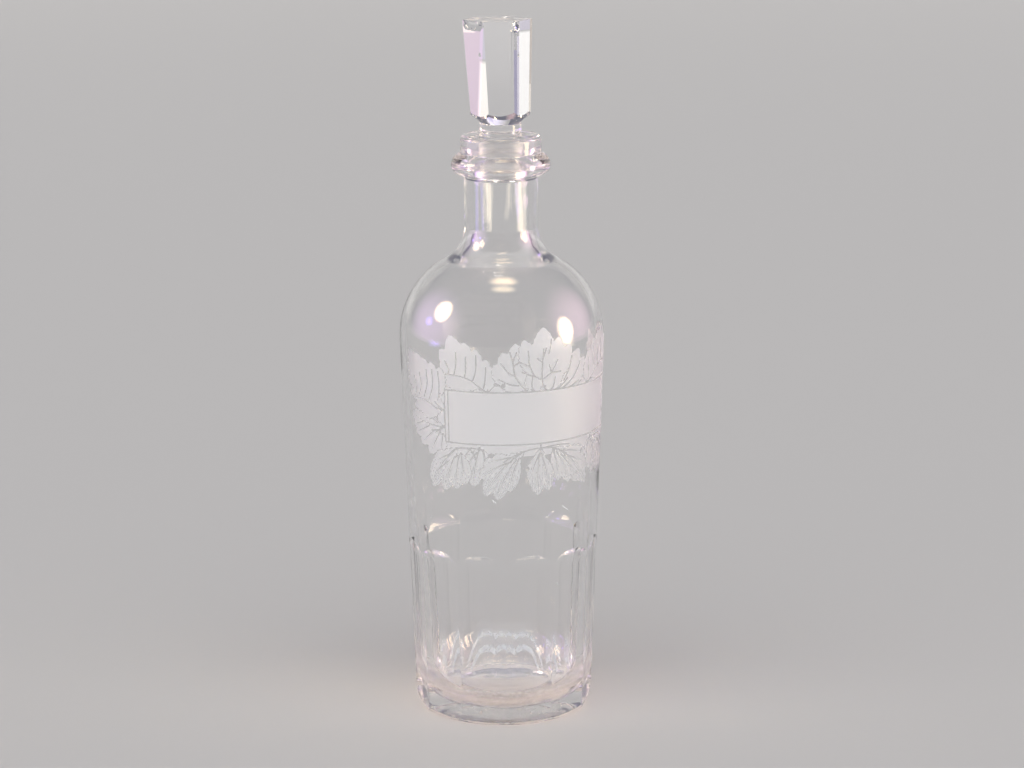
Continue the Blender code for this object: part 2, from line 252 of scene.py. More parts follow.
# Leaves with veins of their own in place of a rib down each lobe, and leaves with ribs
CROWN_LEAVES = (CROWN_LEFT, CROWN_RIGHT, CROWN)
HANGING_LEAVES = (HANGING_LEFT, HANGING_RIGHT, HANGING_MIDDLE)
MIRRORED = ((UPPER, False), (POINTING, True), (OUTER, False), (INNER_LOW, True), (LOWER, True))
VEINS = [
    [(2, 149.2), (-0.3, 151), (-1, 154.2), (-1, 159.5), (-0.3, 167.7)], [(-1.2, 162.1), (-3.2, 163.8)],
    [(-0.7, 163.6), (1, 167.9)], [(-1.2, 154.5), (-4.2, 156), (-6.3, 159.8), (-7.1, 167.1)],
    [(-4.2, 156), (-6.2, 156.7), (-9.6, 158.2)], [(-6.6, 160.6), (-10.6, 162.6)],
    [(-1.2, 154.5), (1, 155.6), (3.5, 157.2), (6.2, 162.4)], [(3.5, 157.2), (7.9, 157.2)],
    [(3.3, 157.2), (2.2, 160.7)], [(2, 149.2), (4.5, 150.8), (5, 155.2)], [(4.3, 149), (8.1, 150.6), (11.5, 153.8)],
    [(4.3, 149), (9.7, 149.9), (14.9, 153.8)], [(5.4, 148.9), (11.7, 149.3), (18, 151.7)],
    [(-7.4, 149.7), (-10.8, 153.8), (-12.8, 156.7), (-13.4, 162.7), (-14.6, 166.9)],
    [(-13.4, 162.7), (-11.9, 166.8)], [(-13.1, 161.1), (-10.6, 162.6)], [(-12.8, 156.7), (-15.3, 158), (-18.3, 162.2)],
    [(-11, 152.5), (-15.3, 153.1), (-19.3, 155.4)], [(-3.8, 149.4), (-5.6, 151.4), (-5.2, 156.1)],
    [(2.1, 165.4), (3.4, 171.4)], [(9.4, 153), (12.6, 158), (13.4, 163)], [(12, 151.4), (16.4, 155.6), (18.6, 160)],
]
MIRRORED_VEINS = [
    [(-28.7, 165.5), (-28.6, 158.7), (-30.1, 154.4)], [(-24.7, 160.5), (-24.7, 155.3), (-25.5, 151.6)],
    [(-42.2, 156.4), (-36.5, 156.2), (-31, 154.8), (-27.5, 151.8), (-24.7, 150)],
    [(-33.1, 164.6), (-32.9, 159.4), (-33.6, 155.6)], [(-37.4, 166.2), (-37.2, 161), (-38.4, 156.4)],
    [(-42.6, 162), (-40.6, 158.6), (-41, 156.4)], [(-53.1, 156.8), (-52.4, 150.6), (-54.8, 144.9)],
    [(-49.7, 157.4), (-49.1, 150.1), (-52.1, 143.6)], [(-46.5, 156.8), (-45.7, 149.6), (-46.8, 144.4)],
    [(-57.7, 154.9), (-56.3, 148.9), (-58.2, 145.3)], [(-61.6, 152.6), (-60, 147.6), (-61.4, 143.6)],
    [(-42.9, 148.9), (-43.6, 140.4), (-43.4, 134), (-42.7, 131)], [(-61.4, 143.6), (-54.8, 143.8), (-47.6, 140.8)],
    [(-47.6, 140.8), (-43.6, 140.4)], [(-41.7, 121.5), (-39.2, 124), (-34.6, 125.3), (-30.8, 124.1), (-29.4, 120.2)],
]
STEMS = VEINS + [
    [(-17.4, 119.2), (-13.4, 121.9), (-8.7, 124), (-1.2, 125.1), (6.3, 124), (11.6, 120.7)],
    [(-1.2, 126.9), (-1.2, 124.8)],
    [(1.6, 125), (8, 125.4), (13.2, 124.6)],
]
MIRRORED_STEMS = MIRRORED_VEINS + [
    [(-38, 124.4), (-31.2, 125.3), (-26.6, 124.6)],
    [(-31.2, 125.3), (-33.6, 122.2)],
    [(-43.6, 133.8), (-46.4, 131.4), (-51, 130.9)],
    [(-43.6, 140.2), (-46, 141.4), (-48.6, 143.6)],
]
BARE_SPOTS = [(-17.4, 152.6, 0.9), (-22.6, 122.2, 1.1), (21, 120.4, 1), (-7, 116, 0.9)]

# Scratches: degrees round from the front, millimetres up, length in millimetres, slant in degrees
SCRATCHES = [
    (-4.6, 102, 2, -48), (-5.3, 102.2, 1.4, -52), (39.5, 96.6, 3.4, -40), (38.2, 97.2, 2.2, -44), (41, 95.8, 1.6, -36),
    (27, 94.2, 1.2, 20), (-47, 91.8, 1.4, 60), (36.5, 62, 4.4, -55), (-69, 113, 2.2, -70), (-67, 106.6, 2.4, -66),
    (-70, 102.6, 2, -75), (-65, 96.4, 2.6, -60), (-70, 93.6, 2.2, -70), (-66, 85, 1.6, -50),
]
SCRATCH_WIDTH = 0.2 * MM

# The etching's edge, in millimetres of the drawing, and its tone: the plain wheel's, and what hatching and grit add.
# The wheel's grit is finer than 0.1 mm, and is drawn as coarse as it needs to show.
ETCH_EDGE_OUT, ETCH_EDGE_IN = -0.08, 0.1
ETCH_TONE = 0.35
ETCH_HATCHING = 0.4
ETCH_GRIT = 0.5
GRIT_SIZE = 0.9 * MM
LOWEST_LEAVES_SHARE = 0.55

# Film of dried drink on the inner floor, with tide marks that wander a little. The specks of a real film are finer, and
# are drawn as coarse as they need to show.
FILM_TOP = 30 * MM
WANDER_SIZE = 16 * MM
WANDER_DEPTH = 3 * MM
FILM_REACH = 20 * MM
FILM_IN_FRONT = 0.55
SPECK_SIZE = 1.4 * MM
SPECK_LOW, SPECK_HIGH = 0.35, 0.65
SPECK_THINNEST = 0.6
# At the back the tide marks sag in arches, one for each flute in front: how far at most, how far out, how far back they
# are full, and the share of the sag from the middle out
ARCH_SAG = 15 * MM
ARCH_REACH = 35 * MM
ARCH_BACK = 12 * MM
ARCHES = [
    (0, 0.12), (0.1, 0.04), (0.22, 0), (0.29, 0), (0.37, 0.07), (0.46, 0.23), (0.54, 0.43), (0.61, 0.63),
    (0.67, 0.9), (0.7, 1), (0.74, 0.13), (0.81, 0), (0.89, 0.13), (0.96, 0.6), (1, 0.8),
]
# The film's thickness, from the floor up
TIDE_MARKS = [
    (0.13, 0.22), (0.2, 0.5), (0.3, 0.4), (0.37, 0.18), (0.41, 0.66), (0.46, 0.7), (0.5, 0.3), (0.57, 0.36),
    (0.62, 0.62), (0.68, 0.46), (0.74, 0.12), (0.8, 0.18), (0.86, 0.04), (0.95, 0),
]

# The glass: how rough each finish makes it, and how much of its clearness the finish takes
GLASS_IOR = 1.52
ETCHED_ROUGHNESS, ETCHED_MILK = 0.55, 0.5
FILM_ROUGHNESS, FILM_MILK = 0.3, 0.6
SCRATCH_ROUGHNESS, SCRATCH_MILK = 0.4, 0.8
GROUND_ROUGHNESS = 0.18
# Enough for light to cross every wall of bottle and stopper, there and back
GLASS_BOUNCES = 24


def deselect():
    """Nothing is selected, so that the next operator works on the new piece alone."""
    if bpy.context.object and bpy.context.object.mode != "OBJECT":
        bpy.ops.object.mode_set(mode="OBJECT")
    bpy.ops.object.select_all(action="DESELECT")


def select(piece):
    deselect()
    bpy.context.view_layer.objects.active = piece
    piece.select_set(True)


def clear_picks(kind):
    """Nothing inside the active piece is selected, so that its edges or faces can be picked by their place."""
    bpy.ops.object.mode_set(mode="EDIT")
    bpy.ops.mesh.select_mode(type=kind)
    bpy.ops.mesh.select_all(action="DESELECT")
    bpy.ops.object.mode_set(mode="OBJECT")


def arc(centre, radius, start, end, pitch=ARC_PITCH):
    """Points of an arc in the profile plane, both ends included, angles in radians from +X."""
    turn = abs(end - start)
    steps = max(2, math.ceil(turn * radius / pitch), math.ceil(turn / math.radians(ARC_TURN_DEG)))
    angles = [start + (end - start) * step / steps for step in range(steps + 1)]
    return [(centre[0] + radius * math.cos(a), centre[1] + radius * math.sin(a)) for a in angles]


def straight(start, end, pitch):
    """Points along a straight stretch, without its two ends."""
    steps = max(1, round(math.dist(start, end) / pitch))
    return [(start[0] + (end[0] - start[0]) * step / steps, start[1] + (end[1] - start[1]) * step / steps)
            for step in range(1, steps)]


def body_lean():
    return math.atan2(BODY_RADIUS - FOOT_RADIUS, BODY_HEIGHT)


def body_radius_at(height):
    return FOOT_RADIUS + height * math.tan(body_lean())


def fillet_between(shoulder_centre, shoulder_radius, neck_radius, fillet_radius):
    """Centre of the hollow curve that leaves the shoulder's arc and runs up into the neck."""
    centre_radius = neck_radius + fillet_radius
    reach = shoulder_radius + fillet_radius
    rise = math.sqrt(reach ** 2 - (centre_radius - shoulder_centre[0]) ** 2)
    return centre_radius, shoulder_centre[1] + rise


def shoulder_curve(shoulder_centre, shoulder_radius, neck_radius, fillet_radius, lean):
    """Shoulder and neck fillet as one curve, from the neck down to the body."""
    fillet_centre = fillet_between(shoulder_centre, shoulder_radius, neck_radius, fillet_radius)
    meeting = math.atan2(fillet_centre[1] - shoulder_centre[1], fillet_centre[0] - shoulder_centre[0])
    hollow = arc(fillet_centre, fillet_radius, math.pi, math.pi + meeting)
    round_part = arc(shoulder_centre, shoulder_radius, meeting, -lean)
    return hollow + round_part[1:]


def outer_shoulder_centre():
    lean = body_lean()
    return (BODY_RADIUS - SHOULDER_RADIUS * math.cos(lean), BODY_HEIGHT + SHOULDER_RADIUS * math.sin(lean))


def ring_height():
    """Height of the middle of the ring's bead, which the lip stands on."""
    return LIP_TOP - LIP_HEIGHT - RING_BEAD_RADIUS


def seat_radius_at(depth):
    return MOUTH_RADIUS - depth * math.tan(math.radians(SEAT_TAPER_DEG))


def crease(side_radius, above):
    """Hollow fillet between the ring's bead and the lip above it, or the neck below it."""
    bead_reach = RING_BEAD_RADIUS + CREASE_FILLET
    run = side_radius + CREASE_FILLET - NECK_RADIUS
    rise = math.sqrt(bead_reach ** 2 - run ** 2)
    direction = math.atan2(rise, run)
    if above:
        centre = (side_radius + CREASE_FILLET, ring_height() + rise)
        return arc(centre, CREASE_FILLET, math.pi, math.pi + direction, CREASE_PITCH), direction
    centre = (side_radius + CREASE_FILLET, ring_height() - rise)
    return arc(centre, CREASE_FILLET, math.pi - direction, math.pi, CREASE_PITCH), -direction


def outside_outline():
    """Outer profile, from the lip's top down to the standing ring."""
    lean = body_lean()
    edge = arc((LIP_RADIUS - LIP_EDGE_RADIUS, LIP_TOP - LIP_EDGE_RADIUS), LIP_EDGE_RADIUS, math.pi / 2, 0)
    upper_crease, bead_start = crease(LIP_RADIUS, True)
    lower_crease, bead_end = crease(NECK_RADIUS, False)
    bead = arc((NECK_RADIUS, ring_height()), RING_BEAD_RADIUS, bead_start, bead_end)
    shoulder = shoulder_curve(outer_shoulder_centre(), SHOULDER_RADIUS, NECK_RADIUS, NECK_FILLET, lean)
    middle = ring_height()
    ring = [(radius, middle + (height - middle) * (RING_UNDERSIDE_SHARE if height < middle else 1))
            for radius, height in bead[1:-1] + lower_crease]
    neck = straight(ring[-1], shoulder[0], INNER_PITCH)
    heel_side = HEEL_RADIUS * math.tan((math.pi / 2 - lean) / 2)
    heel = arc((FOOT_RADIUS - heel_side, HEEL_RADIUS), HEEL_RADIUS, -lean, -math.pi / 2)
    below_wreath = (body_radius_at(WREATH_LOW * MM - ARC_PITCH), WREATH_LOW * MM - ARC_PITCH)
    upper_side = straight(shoulder[-1], below_wreath, ARC_PITCH) + [below_wreath]
    lower_side = straight(below_wreath, heel[0], INNER_PITCH)
    return edge + upper_crease + ring + neck + shoulder + upper_side + lower_side + heel


def dome_height(radius, dome_radius, dome_rise):
    """Height of a shallow round dome over its rim, at a radius from its middle."""
    sphere = (dome_radius ** 2 + dome_rise ** 2) / (2 * dome_rise)
    return math.sqrt(sphere ** 2 - radius ** 2) - sphere + dome_rise


def underside_outline():
    """Underside from the standing ring's inner edge to the middle."""
    rim = dome_height(POLISHED_HOLLOW_RADIUS, KICK_RADIUS, KICK_HEIGHT)
    kick = [(r, dome_height(r, KICK_RADIUS, KICK_HEIGHT))
            for r in np.linspace(KICK_RADIUS, POLISHED_HOLLOW_RADIUS, UNDERSIDE_RINGS)]
    hollow = [(r, rim + dome_height(r, POLISHED_HOLLOW_RADIUS, POLISHED_HOLLOW_DEPTH))
              for r in np.linspace(POLISHED_HOLLOW_RADIUS, 0, UNDERSIDE_RINGS)[1:]]
    return kick + hollow


def inside_outline():
    """Inner profile, from the middle of the floor up to the mouth."""
    inner_top_radius = BODY_RADIUS - WALL_AT_SHOULDER
    inner_foot_radius = body_radius_at(BASE_THICKNESS) - WALL_AT_FOOT
    lean = math.atan2(inner_top_radius - inner_foot_radius, BODY_HEIGHT - BASE_THICKNESS)
    heel_side = INNER_HEEL_RADIUS * math.tan((math.pi / 2 - lean) / 2)
    heel_centre = (inner_foot_radius - heel_side, BASE_THICKNESS + INNER_HEEL_RADIUS)
    heel = arc(heel_centre, INNER_HEEL_RADIUS, -math.pi / 2, -lean)
    radius = SHOULDER_RADIUS - WALL_AT_SHOULDER
    centre = (inner_top_radius - radius * math.cos(lean), BODY_HEIGHT + radius * math.sin(lean))
    shoulder = list(reversed(shoulder_curve(centre, radius, BORE_RADIUS, BORE_FILLET, lean)))
    seat_foot = LIP_TOP - SEAT_LENGTH
    mouth = [
        (BORE_RADIUS, seat_foot - SEAT_RUNOUT),
        (seat_radius_at(SEAT_LENGTH), seat_foot),
        (seat_radius_at(MOUTH_EDGE), LIP_TOP - MOUTH_EDGE),
        (seat_radius_at(MOUTH_EDGE) + MOUTH_EDGE, LIP_TOP),
    ]
    floor = [(0, BASE_THICKNESS)] + straight((0, BASE_THICKNESS), heel[0], INNER_PITCH)
    side = straight(heel[-1], shoulder[0], INNER_PITCH)
    neck = straight(shoulder[-1], mouth[0], INNER_PITCH)
    seat = straight(mouth[1], mouth[2], INNER_PITCH)
    return floor + heel + side + shoulder + neck + mouth[:2] + seat + mouth[2:]


def turned(name, outline, steps):
    """Draw a profile from one point by extrusion, and spin it round the axis into a closed solid."""
    deselect()
    start = Vector((outline[0][0], 0, outline[0][1]))
    bpy.ops.mesh.primitive_plane_add(size=MM, location=start)
    piece = bpy.context.object
    piece.name = name
    bpy.ops.object.mode_set(mode="EDIT")
    bpy.ops.mesh.select_mode(type="VERT")
    bpy.ops.mesh.merge(type="CENTER")
    for before, after in zip(outline, outline[1:]):
        step = (after[0] - before[0], 0, after[1] - before[1])
        bpy.ops.mesh.extrude_region_move(TRANSFORM_OT_translate={"value": step})
    bpy.ops.mesh.select_all(action="SELECT")
    bpy.ops.mesh.spin(steps=steps, angle=2 * math.pi, center=(0, 0, 0), axis=(0, 0, 1))
    bpy.ops.mesh.select_all(action="SELECT")
    bpy.ops.mesh.remove_doubles(threshold=SAME_PLACE)
    bpy.ops.mesh.normals_make_consistent(inside=False)
    bpy.ops.object.mode_set(mode="OBJECT")
    bpy.ops.object.transform_apply(location=True, rotation=True, scale=True)
    return piece


def flute_guide():
    """Solid that the bottle is trimmed to: a twelve-sided taper that flares out at the flutes' tops."""
    lean = body_lean()
    turn = math.radians(FLUTE_RUNOUT_DEG)
    curve_depth = FLUTE_RUNOUT_RADIUS * (1 - math.cos(turn))
    curve_rise = FLUTE_RUNOUT_RADIUS * math.sin(turn)
    slant_rise = (FLUTE_DEPTH - curve_depth) / math.tan(turn)
    panel_top_height = FLUTE_HEIGHT - slant_rise - curve_rise
    centre = (body_radius_at(panel_top_height) - FLUTE_DEPTH + FLUTE_RUNOUT_RADIUS * math.cos(lean),
              panel_top_height - FLUTE_RUNOUT_RADIUS * math.sin(lean))
    runout = arc(centre, FLUTE_RUNOUT_RADIUS, math.pi - lean, math.pi - lean - turn, RUNOUT_PITCH)
    clear = body_radius_at(FLUTE_HEIGHT) * GUIDE_FLARE
    slant_top = runout[-1][1] + (clear - runout[-1][0]) / math.tan(turn + lean)
    foot = (body_radius_at(-GUIDE_CLEARANCE) - FLUTE_DEPTH, -GUIDE_CLEARANCE)
    rings = [foot] + runout + [(clear, slant_top), (clear, LIP_TOP + GUIDE_CLEARANCE)]

    deselect()
    corner = 1 / math.cos(math.pi / FLUTE_COUNT)
    bpy.ops.mesh.primitive_circle_add(vertices=FLUTE_COUNT, radius=rings[0][0] * corner, fill_type="NGON",
                                      location=(0, 0, rings[0][1]))
    guide = bpy.context.object
    guide.name = "flute_guide"
    bpy.ops.object.mode_set(mode="EDIT")
    for before, after in zip(rings, rings[1:]):
        bpy.ops.mesh.extrude_region_move(TRANSFORM_OT_translate={"value": (0, 0, after[1] - before[1])})
        share = after[0] / before[0]
        bpy.ops.transform.resize(value=(share, share, 1), center_override=(0, 0, after[1]))
    bpy.ops.mesh.select_all(action="SELECT")
    bpy.ops.mesh.normals_make_consistent(inside=False)
    clear_picks("EDGE")
    for edge in guide.data.edges:
        ends = [guide.data.vertices[index].co.z for index in edge.vertices]
        edge.select = abs(ends[0] - ends[1]) > SAME_PLACE
    bpy.ops.object.mode_set(mode="EDIT")
    bpy.ops.mesh.bevel(offset=FLUTE_EDGE, segments=FLUTE_EDGE_STEPS)
    bpy.ops.object.mode_set(mode="OBJECT")
    bpy.ops.object.transform_apply(location=True, rotation=True, scale=True)
    # a circle's first corner lies on +Y, and a ridge lies at the flutes' turn from the front
    guide.data.transform(Matrix.Rotation(math.radians(FLUTE_TURN_DEG), 4, "Z"))
    return guide


def combine(piece, tool, operation):
    """Apply a Boolean modifier and remove its tool."""
    boolean = piece.modifiers.new(tool.name, "BOOLEAN")
    boolean.operation = operation
    boolean.solver = "EXACT"
    boolean.object = tool
    select(piece)
    bpy.ops.object.modifier_apply(modifier=boolean.name)
    bpy.data.objects.remove(tool)


def smooth(piece, sharp_deg):
    """Shade smooth, with a crisp edge where the surface turns by more than an angle."""
    select(piece)
    bpy.ops.object.shade_smooth_by_angle(angle=math.radians(sharp_deg))


def outside_radius_at(height):
    """Radius of the plain outside at heights on the body or the shoulder."""
    centre_radius, centre_height = outer_shoulder_centre()
    rise = np.clip(height - centre_height, -SHOULDER_RADIUS, SHOULDER_RADIUS)
    return np.where(height < BODY_HEIGHT, body_radius_at(height),
                    centre_radius + np.sqrt(SHOULDER_RADIUS ** 2 - rise ** 2))


def in_wreath_band(x, y, z, margin):
    """True for places on the outside, in the band of heights that the wreath fills and a margin past it."""
    outside = np.hypot(x, y) > outside_radius_at(z) - WALL_AT_SHOULDER / 2
    return outside & (z > (WREATH_LOW - margin) * MM) & (z < (WREATH_HIGH + margin) * MM)


def vertex_places(piece):
    places = np.empty(len(piece.data.vertices) * 3)
    piece.data.vertices.foreach_get("co", places)
    return places.reshape(-1, 3)


def move_vertices(piece, places):
    piece.data.vertices.foreach_set("co", places.ravel())
    piece.data.update()


def set_attribute(piece, name, values):
    made = piece.data.attributes.new(name, "FLOAT", "POINT")
    made.data.foreach_set("value", np.asarray(values, dtype=np.float32))


def wreath_place(x, y):
    """Millimetres across the flat drawing from its middle, for places round the body."""
    turn = np.arctan2(x, -y) - math.radians(WREATH_TURN_DEG)
    turn = (turn + math.pi) % (2 * math.pi) - math.pi
    return turn * WREATH_RADIUS


def refine_wreath_place(bottle):
    """Divide the outside where the wreath goes finely enough to carry its lines, and keep it round."""
    select(bottle)
    clear_picks("FACE")
    centres = np.empty(len(bottle.data.polygons) * 3)
    bottle.data.polygons.foreach_get("center", centres)
    x, y, z = centres.reshape(-1, 3).T
    wanted = in_wreath_band(x, y, z, 0) & (np.abs(wreath_place(x, y)) < WREATH_HALF)
    wanted &= np.abs(wreath_field(wreath_place(x, y), z / MM)[0]) < NEAR_AN_EDGE
    bottle.data.polygons.foreach_set("select", wanted)
    bpy.ops.object.mode_set(mode="EDIT")
    bpy.ops.mesh.subdivide(number_cuts=WREATH_CUTS)
    bpy.ops.object.mode_set(mode="OBJECT")
    places = vertex_places(bottle)
    x, y, z = places.T
    round_share = outside_radius_at(z) / np.maximum(np.hypot(x, y), MM)
    places[:, :2] *= np.where(in_wreath_band(x, y, z, WREATH_MARGIN), round_share, 1)[:, None]
    move_vertices(bottle, places)


def lobe_field(across, up, lobe):
    """For each place: how far it lies inside a lobe, how far from its clear rib, and its hatching."""
    base_across, base_up, tip_across, tip_up, width, bend = lobe
    run, rise = tip_across - base_across, tip_up - base_up
    length = math.hypot(run, rise)
    along = ((across - base_across) * run + (up - base_up) * rise) / length ** 2
    aside = ((up - base_up) * run - (across - base_across) * rise) / length
    share = np.clip(along, 0, 1)
    aside = aside + bend * 4 * share * (1 - share)
    half = width / 2 * np.sin(math.pi * share ** LOBE_SKEW) ** LOBE_FULLNESS
    teeth = TOOTH_DEPTH * ((share * length / TOOTH_PITCH) % 1 - 0.5)
    inside = half + np.minimum(half, 1) * teeth - np.hypot(aside, (along - share) * length)
    rib = np.where((along > 0) & (along < RIB_END), np.abs(aside) - LINE / 2 * (RIB_TAPER - share), FAR)
    hatching = 0.5 + 0.5 * np.cos(2 * math.pi * aside / np.maximum(half, 1) * width / 2 / HATCH_PITCH)
    return inside, rib, hatching


def leaf_field(across, up, lobes):
    """The same for a leaf, with the hatching of the lobe that lies on top."""
    inside = np.full(across.shape, -float(FAR))
    ribs = np.full(across.shape, float(FAR))
    hatching = np.zeros(across.shape)
    for lobe in lobes:
        lobe_inside, rib, lobe_hatching = lobe_field(across, up, lobe)
        hatching = np.where(lobe_inside > inside, lobe_hatching, hatching)
        inside = np.maximum(inside, lobe_inside)
        ribs = np.minimum(ribs, rib)
    return inside, ribs, hatching


def rounded(points):
    """A line with its corners cut twice, so that it bends gently."""
    for _ in range(2):
        cut = [points[0]]
        for start, end in zip(points, points[1:]):
            for share in (CORNER_CUT, 1 - CORNER_CUT):
                cut.append(tuple((1 - share) * s + share * e for s, e in zip(start, end)))
        points = cut + [points[-1]]
    return points


def line_distance(across, up, points):
    """Distance of each place to a line through a few points."""
    nearest = np.full(across.shape, float(FAR))
    points = rounded(points)
    for start, end in zip(points, points[1:]):
        run, rise = end[0] - start[0], end[1] - start[1]
        share = np.clip(((across - start[0]) * run + (up - start[1]) * rise) / (run ** 2 + rise ** 2), 0, 1)
        nearest = np.minimum(nearest, np.hypot(across - start[0] - share * run, up - start[1] - share * rise))
    return nearest


def box_field(across, up, half, low, high):
    return np.minimum(half - np.abs(across), (high - low) / 2 - np.abs(up - (high + low) / 2))


def wreath_field(across, up):
    """The drawing: millimetres inside an etched part, negative where the glass stays clear, and its hatching."""
    etched = np.max([box_field(across, up, *band) for band in BANDS], axis=0)
    hatching = np.full(across.shape, PLAIN_HATCHING)
    layers = []
    for lobes, ribbed in MIRRORED:
        layers += [(across, lobes, ribbed), (-across, lobes, ribbed)]
    layers += [(across, lobes, True) for lobes in HANGING_LEAVES]
    layers += [(across, lobes, False) for lobes in CROWN_LEAVES]
    for place, lobes, ribbed in layers:
        inside, ribs, leaf_hatching = leaf_field(place, up, lobes)
        leaf = np.minimum(inside, ribs) if ribbed else inside
        etched = np.maximum(np.minimum(etched, -inside - LEAF_GAP), leaf)
        hatching = np.where(inside > 0, leaf_hatching, hatching)
    lines = [(across, points) for points in STEMS + MIRRORED_STEMS]
    lines += [(-across, points) for points in MIRRORED_STEMS]
    for place, points in lines:
        etched = np.minimum(etched, line_distance(place, up, points) - LINE / 2)
    for spot_across, spot_up, radius in BARE_SPOTS:
        etched = np.minimum(etched, np.hypot(across - spot_across, up - spot_up) - radius)
    banner = box_field(across, up, BANNER_HALF, BANNER_LOW, BANNER_HIGH)
    end_line = np.abs(BANNER_HALF - BANNER_END_LINE - np.abs(across)) - LINE / 2
    etched = np.maximum(np.minimum(etched, -banner - LINE), np.minimum(banner, end_line))
    return etched, np.where(banner > 0, PLAIN_HATCHING, hatching)


def draw_wreath(bottle):
    x, y, z = vertex_places(bottle).T
    etched, hatching = wreath_field(wreath_place(x, y), z / MM)
    here = in_wreath_band(x, y, z, WREATH_MARGIN)
    set_attribute(bottle, "etching", np.where(here, np.clip(etched, -EDGE_REACH, EDGE_REACH), -EDGE_REACH))
    set_attribute(bottle, "hatching", np.where(here, hatching, 0))


def mark_inside(bottle):
    """Mark the ground seat in the mouth, and the inner floor, where dried drink has left a film."""
    x, y, z = vertex_places(bottle).T
    radius = np.hypot(x, y)
    seat_low, seat_high = LIP_TOP - SEAT_LENGTH, LIP_TOP - MOUTH_EDGE
    slack = 0.1 * MM
    ground = (radius < MOUTH_RADIUS + slack) & (z > seat_low - slack) & (z < seat_high + slack)
    set_attribute(bottle, "ground", ground)
    wall = np.where(z < BASE_THICKNESS + INNER_HEEL_RADIUS, WALL_AT_FOOT, WALL_AT_SHOULDER) / 2
    inner = (z > BASE_THICKNESS - slack) & (z < FILM_TOP) & (radius < FOOT_RADIUS - wall)
    set_attribute(bottle, "inner_floor", inner)


def wave_inside(bottle):
    """Blown glass is never quite even inside: shallow waves in the body's wall, and streaks down the neck."""
    places = vertex_places(bottle)
    x, y, z = places.T
    radius, turn, up = np.hypot(x, y), np.arctan2(x, -y), z / MM
    body = (radius < outside_radius_at(z) - WALL_AT_SHOULDER / 2) & (radius > BORE_RADIUS * 2)
    neck = radius < (BORE_RADIUS + NECK_RADIUS) / 2
    depth = 0
    for wall, (low, high, fade_in, fade_out, waves) in ((body, BODY_WAVES), (neck, NECK_WAVES)):
        share = np.clip((up - low) / fade_in, 0, 1) * np.clip((high - up) / fade_out, 0, 1) * wall
        depth = depth + share * sum(size * np.sin(count * turn + up / climb + start)
                                    for size, count, climb, start in waves)
    places[:, :2] *= (1 + depth * MM / np.maximum(radius, MM))[:, None]
    move_vertices(bottle, places)


def make_bottle():
    outline = inside_outline() + outside_outline() + underside_outline()
    bottle = turned("bottle_glass", outline, TURN_STEPS)
    wave_inside(bottle)
    combine(bottle, flute_guide(), "INTERSECT")
    refine_wreath_place(bottle)
    draw_wreath(bottle)
    mark_inside(bottle)
    smooth(bottle, BOTTLE_SHARP_DEG)
    bottle.data.materials.append(blown_glass())
    return bottle


def plug_radius_at(depth):
    return seat_radius_at(depth) - SEAT_CLEARANCE / math.cos(math.radians(SEAT_TAPER_DEG))


def chip_away(stopper):
    """Shell-shaped bites, ribbed like broken glass, where the head has been knocked."""
    for (across, back, below), struck_from, (along, inwards, up) in CHIPS:
        deselect()
        bpy.ops.mesh.primitive_ico_sphere_add(subdivisions=CHIP_SUBDIVISIONS, radius=1, location=(0, 0, 0))
        tool = bpy.context.object
        tool.name = "chip"
        places = vertex_places(tool)
        reach = np.linalg.norm(places - CHIP_BLOW, axis=1)
        ragged = np.sin(places @ CHIP_RAGS[0]) * np.sin(places @ CHIP_RAGS[1])
        move_vertices(tool, places * (1 + CHIP_RIPPLE_DEPTH * (np.sin(CHIP_RIPPLES * reach) + ragged))[:, None])
        spot = Vector((across, back, HEAD_TOP / MM - below)) * MM
        size = Vector((inwards, along, up)) * MM
        turn = Matrix.Rotation(math.radians(struck_from), 4, "Z")
        tool.data.transform(Matrix.Translation(spot) @ turn @ Matrix.Diagonal(size.to_4d()))
        combine(stopper, tool, "DIFFERENCE")


